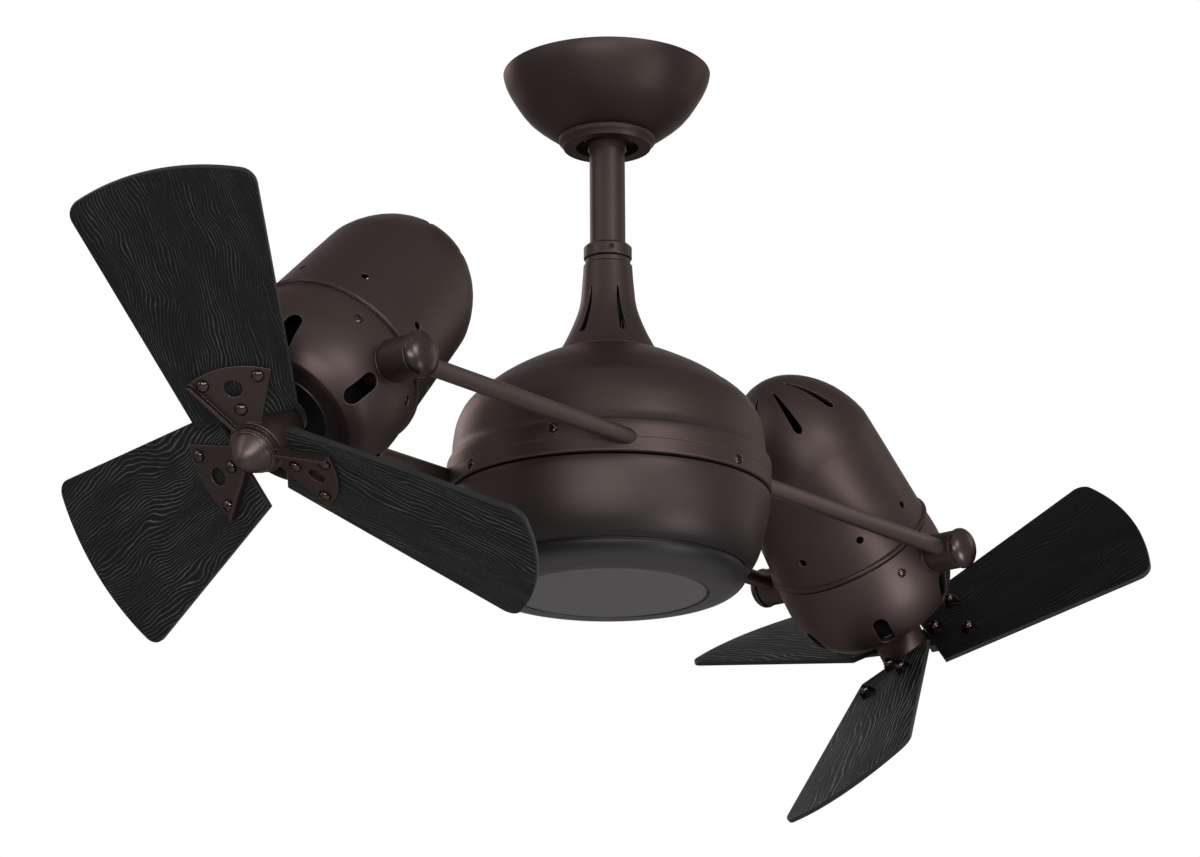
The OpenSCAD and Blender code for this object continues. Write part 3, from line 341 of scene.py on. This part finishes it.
# ---- Blades
# Each rotor has three boards of charcoal stained oak, screwed on behind the folded brackets.
# Both faces are brushed so that the grain stands open, and the edges are softened and sealed.
REACH, TUBE_Z = 0.321, -0.322  # from the downrod to a head's tilt axis, and the height of that axis
TILT = {"left": radians(46.7), "right": radians(44.5)}
TURN = {"left": radians(-12.1), "right": radians(48.6)}
ROTOR_L, PITCH, LEAN = 0.0825, radians(17.4), radians(0.3)
BRACKET_T, BLADE_T = 0.0025, 0.004
ROOT, CORNER = Vector((0.022, 0.03725)), Vector((0.1959, 0.067))  # ends of a straight edge
CORNER_R, BOW = 0.012, 0.0145  # radius of the tip's corners, and how far the tip bows out past them
BLADE_EDGE, EDGE_ROWS = 0.0007, 3
ALONG, ROUND, TIP = 24, 10, 20  # steps along the edge, round the corner and over half of the tip
LEVEL, STEEP = 0.98, 0.5  # a face this level is a front or back, and a turn this steep is a rim


def blade_place(side, k):
    """Where a blade lies: +X out along it, and z = 0 on the front of its bracket."""
    outward = 1 if side == "right" else -1

    def turn(angle, axis):
        return Matrix.Rotation(angle, 4, axis)

    head = Matrix.Translation((outward * REACH, 0, TUBE_Z)) @ turn(0 if outward > 0 else pi, "Z")
    rotor = head @ turn(pi / 2 + TILT[side], "Y") @ turn(pi + TURN[side], "Z")
    arm = rotor @ turn(2 * pi / 3 * k, "Z") @ Matrix.Translation((0, 0, ROTOR_L))
    return arm @ turn(PITCH, "X") @ turn(LEAN, "Y")


def blade_outline():
    """Half of the blade's edge, from the root corner to the middle of the tip."""
    tip_r = (CORNER.y ** 2 + BOW ** 2) / (2 * BOW)
    tip_c = Vector((CORNER.x + BOW - tip_r, 0))
    along = (CORNER - ROOT).normalized()
    outward = Vector((-along.y, along.x))
    # The corner's arc touches the straight edge from inside, and the tip's arc from inside as well.
    start = ROOT - CORNER_R * outward - tip_c
    half = start.dot(along)
    go = -half + sqrt(half * half - start.dot(start) + (tip_r - CORNER_R) ** 2)
    centre = tip_c + start + go * along
    low = atan2(centre.y - tip_c.y, centre.x - tip_c.x)
    high = atan2(outward.y, outward.x)
    edge = [ROOT.lerp(centre + CORNER_R * outward, t / ALONG) for t in range(ALONG)]
    for a in (high + (low - high) * t / ROUND for t in range(ROUND + 1)):
        edge.append(centre + CORNER_R * Vector((cos(a), sin(a))))
    for a in (low * (1 - t / TIP) for t in range(1, TIP + 1)):
        edge.append(tip_c + tip_r * Vector((cos(a), sin(a))))
    return edge


def make_blade(name):
    """A board with softened edges, whose UV map is its own length and width in metres."""
    half = blade_outline()
    ring = half + [Vector((p.x, -p.y)) for p in reversed(half[:-1])]
    bm = bmesh.new()
    front = bm.faces.new([bm.verts.new((p.x, p.y, -BRACKET_T)) for p in reversed(ring)])
    pulled = bmesh.ops.extrude_face_region(bm, geom=[front])
    back = [v for v in pulled["geom"] if isinstance(v, bmesh.types.BMVert)]
    bmesh.ops.translate(bm, verts=back, vec=(0, 0, -BLADE_T))
    bmesh.ops.recalc_face_normals(bm, faces=bm.faces)
    rim = [e for e in bm.edges if len(e.link_faces) == 2
           and abs(e.link_faces[0].normal.z - e.link_faces[1].normal.z) > STEEP]
    bmesh.ops.bevel(bm, geom=rim, offset=BLADE_EDGE, segments=EDGE_ROWS, profile=0.5, affect="EDGES")
    uv = bm.loops.layers.uv.new("along")
    for face in bm.faces:
        face.smooth = True
        face.material_index = 0 if face.normal.z > LEVEL else 1 if face.normal.z < -LEVEL else 2
        for loop in face.loops:
            loop[uv].uv = (loop.vert.co.x, loop.vert.co.y)
    mesh = bpy.data.meshes.new(name)
    bm.to_mesh(mesh)
    bm.free()
    return mesh


SEED_STEP = (1.7, 0.9, 0.31)    # how far apart in the wood two seeds are
SWING, RIPPLE = 0.052, 0.0016   # how far the lines swing and ripple across the blade
GROOVE = 0.0011                 # depth of the brushed grain
RIDGE_FROM = 0.5                # sine above which a line is a ridge


def blade_wood(name, seed, dark, light, relief, period):
    """Brushed oak: fine lines that flow round each other along the blade, with pale ridges and dark pores."""
    wood = bpy.data.materials.new(name)
    wood.use_nodes = True
    tree = wood.node_tree
    body = tree.nodes["Principled BSDF"]

    def noise(scale, **values):
        stretched = add_node(tree, "Mapping", {"Vector": shift.outputs[0]}, Scale=scale)
        return add_node(tree, "TexNoise", {"Vector": stretched.outputs[0]}, **values).outputs["Fac"]

    def scaled(source, factor):
        node = add_node(tree, "Math", {0: source}, operation="MULTIPLY")
        node.inputs[1].default_value = factor
        return node.outputs[0]

    def both(operation, a, b):
        return add_node(tree, "Math", {0: a, 1: b}, operation=operation).outputs[0]

    place = add_node(tree, "UVMap", uv_map="along")
    shift = add_node(tree, "Mapping", {"Vector": place.outputs[0]},
                     Location=[seed * step for step in SEED_STEP])
    flow = noise((1, 1.5, 1), Scale=9, Detail=3, Roughness=0.45)
    ripple = noise((1, 3.5, 1), Scale=60, Detail=2, Roughness=0.5)
    fibre = noise((60, 900, 1), Scale=1, Detail=3, Roughness=0.6)
    patch = noise((16, 70, 1), Scale=1, Detail=4, Roughness=0.6)
    width = add_node(tree, "SeparateXYZ", {"Vector": shift.outputs[0]}).outputs["Y"]
    across = both("ADD", both("ADD", width, scaled(flow, SWING)), scaled(ripple, RIPPLE))
    line = add_node(tree, "Math", {0: scaled(across, 2 * pi / period)}, operation="SINE")
    ridge = add_node(tree, "MapRange", {"Value": line.outputs[0]}, From_Min=RIDGE_FROM, From_Max=1.0)
    strong = add_node(tree, "MapRange", {"Value": patch}, From_Min=0.4, From_Max=0.68, To_Min=0.3)
    broken = add_node(tree, "MapRange", {"Value": fibre}, From_Min=0.35, From_Max=0.65, To_Min=0.4)
    pale_share = both("MULTIPLY", both("MULTIPLY", ridge.outputs[0], strong.outputs[0]), broken.outputs[0])
    tone = add_node(tree, "MixRGB", {"Fac": pale_share}, Color1=(*dark, 1), Color2=(*light, 1))
    height = both("MULTIPLY", ridge.outputs[0], broken.outputs[0])
    bump = add_node(tree, "Bump", {"Height": height}, Strength=relief, Distance=GROOVE)
    tree.links.new(tone.outputs[0], body.inputs["Base Color"])
    tree.links.new(bump.outputs[0], body.inputs["Normal"])
    body.inputs["Roughness"].default_value = 0.6
    body.inputs["Specular IOR Level"].default_value = 0.025
    return wood


# The backs' base tone is darker than the fronts', as painted shade.
FRONT_DARK, BACK_DARK_SHADED, RELIEF = (0.0055, 0.0056, 0.0056), (0.0022, 0.0023, 0.0023), 0.9
BACK_SEED = 7                   # the back's grain is that of another board
# For each blade the front's line spacing in metres and pale tone, and then the back's.
GRAIN = {
    "left_a": (0.0021, 0.066, 0.003, 0.09),
    "left_b": (0.0023, 0.09, 0.003, 0.09),
    "left_c": (0.0036, 0.078, 0.003, 0.09),
    "right_a": (0.0024, 0.08, 0.003, 0.022),
    "right_b": (0.003, 0.08, 0.0046, 0.13),
    "right_c": (0.003, 0.08, 0.0052, 0.13),
}
blade_rim = coat("blade_rim", (0.002, 0.0021, 0.0021), (0.016, 0.0163, 0.0163),
                 gloss=0.5, peel=0.8, grain=500, shine=0.08, tint=(1, 1, 1))
for seed, (board, grain) in enumerate(GRAIN.items(), start=1):
    side, letter = board.split("_")
    front_line, front_pale, back_line, back_pale = grain
    name = f"{side}_wood_{letter}"
    blade = bpy.data.objects.new(name, make_blade(name))
    bpy.context.collection.objects.link(blade)
    blade.data.transform(blade_place(side, "abc".index(letter)))
    front = blade_wood(name, seed, FRONT_DARK, [front_pale] * 3, RELIEF, front_line)
    back = blade_wood(f"{name}_back", seed + BACK_SEED, BACK_DARK_SHADED, [back_pale] * 3, RELIEF, back_line)
    for paint in (front, back, blade_rim):
        blade.data.materials.append(paint)
    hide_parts(f"{side}_blade_{letter}")
    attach(blade, f"rotor_{side}")
